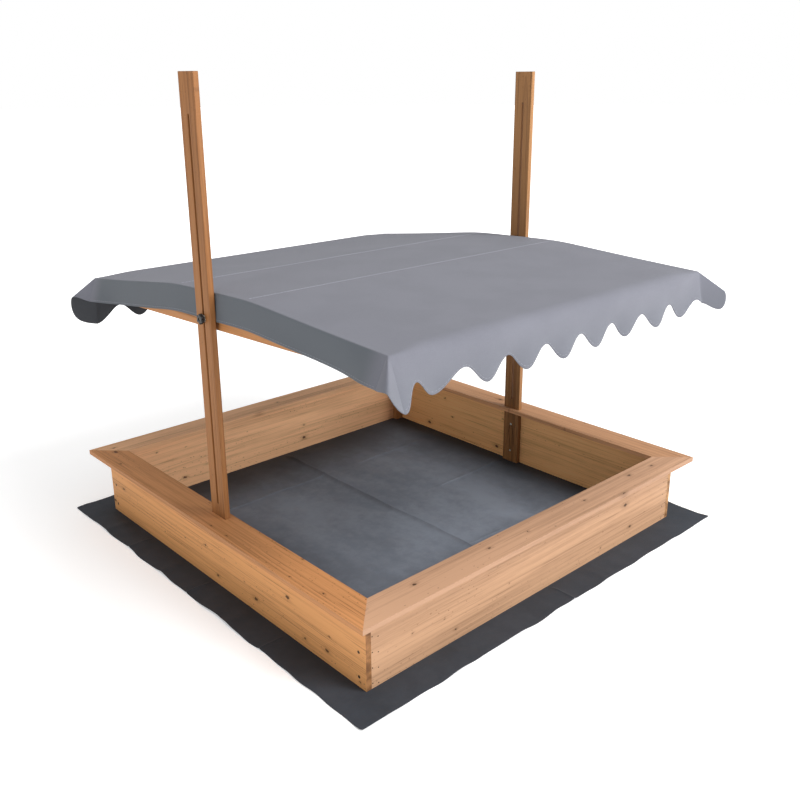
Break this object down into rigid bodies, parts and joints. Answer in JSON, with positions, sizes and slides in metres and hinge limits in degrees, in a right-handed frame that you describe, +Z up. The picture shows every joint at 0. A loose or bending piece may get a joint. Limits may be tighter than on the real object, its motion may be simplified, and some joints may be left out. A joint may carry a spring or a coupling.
{
  "type": "sandbox with cover",
  "caption": "Square wooden sandbox with mitred bench seats, a ground sheet and a fabric canopy that slides and tilts between slotted posts.",
  "frame": {"origin": "middle of the ground sheet's underside, where the sandbox rests", "axes": "+Z up; +X from the left post to the right post; the front is at -Y"},
  "size_m": [1.3, 1.3, 1.2],
  "materials": {
    "wood_board": "satin, light stain, knots",
    "wood_frame": "satin",
    "canopy_cloth": "matt coated polyester",
    "ground_cloth": "matt woven ground sheet",
    "screw_steel": "zinc plated",
    "knob_plastic": "fine texture",
    "spacer_plastic": "plain",
    "insert_brass": "plain",
    "dowel_wood": "plain"
  },
  "bodies": {
    "box": {"ground_sheet": "ground_cloth", "wall_left": "wood_board", "seat_left": "wood_board", "wall_right": "wood_board", "seat_right": "wood_board", "wall_front": "wood_board", "seat_front": "wood_board", "wall_back": "wood_board", "seat_back": "wood_board", "corner_block_front_left": "wood_board", "corner_block_front_right": "wood_board", "corner_block_back_left": "wood_board", "corner_block_back_right": "wood_board", "post_left": "wood_board", "post_right": "wood_board", "corner_screws": "screw_steel", "post_screws": "screw_steel", "wall_nails": "screw_steel", "seat_dowels": "dowel_wood"},
    "slider": {"washer_left": "screw_steel", "spacer_left": "spacer_plastic", "washer_right": "screw_steel", "spacer_right": "spacer_plastic"},
    "canopy": {"rail_left": "wood_frame", "riser_left": "wood_frame", "drape_left": "canopy_cloth", "bolt_left": "screw_steel", "rail_right": "wood_frame", "riser_right": "wood_frame", "drape_right": "canopy_cloth", "bolt_right": "screw_steel", "bar_front": "wood_frame", "ridge_bar_front": "wood_frame", "valance_front": "canopy_cloth", "bar_back": "wood_frame", "ridge_bar_back": "wood_frame", "valance_back": "canopy_cloth", "canopy_top": "canopy_cloth", "frame_screws": "screw_steel", "ridge_screws": "screw_steel"},
    "knob_left": {"knob_left": "knob_plastic", "knob_insert_left": "insert_brass"},
    "knob_right": {"knob_right": "knob_plastic", "knob_insert_right": "insert_brass"}
  },
  "joints": [
    {"name": "canopy_height", "type": "slide", "parent": "box", "child": "slider", "axis": [0, 0, 1], "range_m": [-0.105, 0.435]},
    {"name": "canopy_tilt", "type": "hinge", "parent": "slider", "child": "canopy", "pos_m": [0, 0, 0.675], "axis": [1, 0, 0], "range_deg": [-22.8, 27.2]},
    {"name": "knob_left_turn", "type": "hinge", "parent": "canopy", "child": "knob_left", "pos_m": [-0.56, 0, 0.675], "axis": [1, 0, 0], "continuous": true},
    {"name": "knob_right_turn", "type": "hinge", "parent": "canopy", "child": "knob_right", "pos_m": [0.56, 0, 0.675], "axis": [1, 0, 0], "continuous": true}
  ]
}
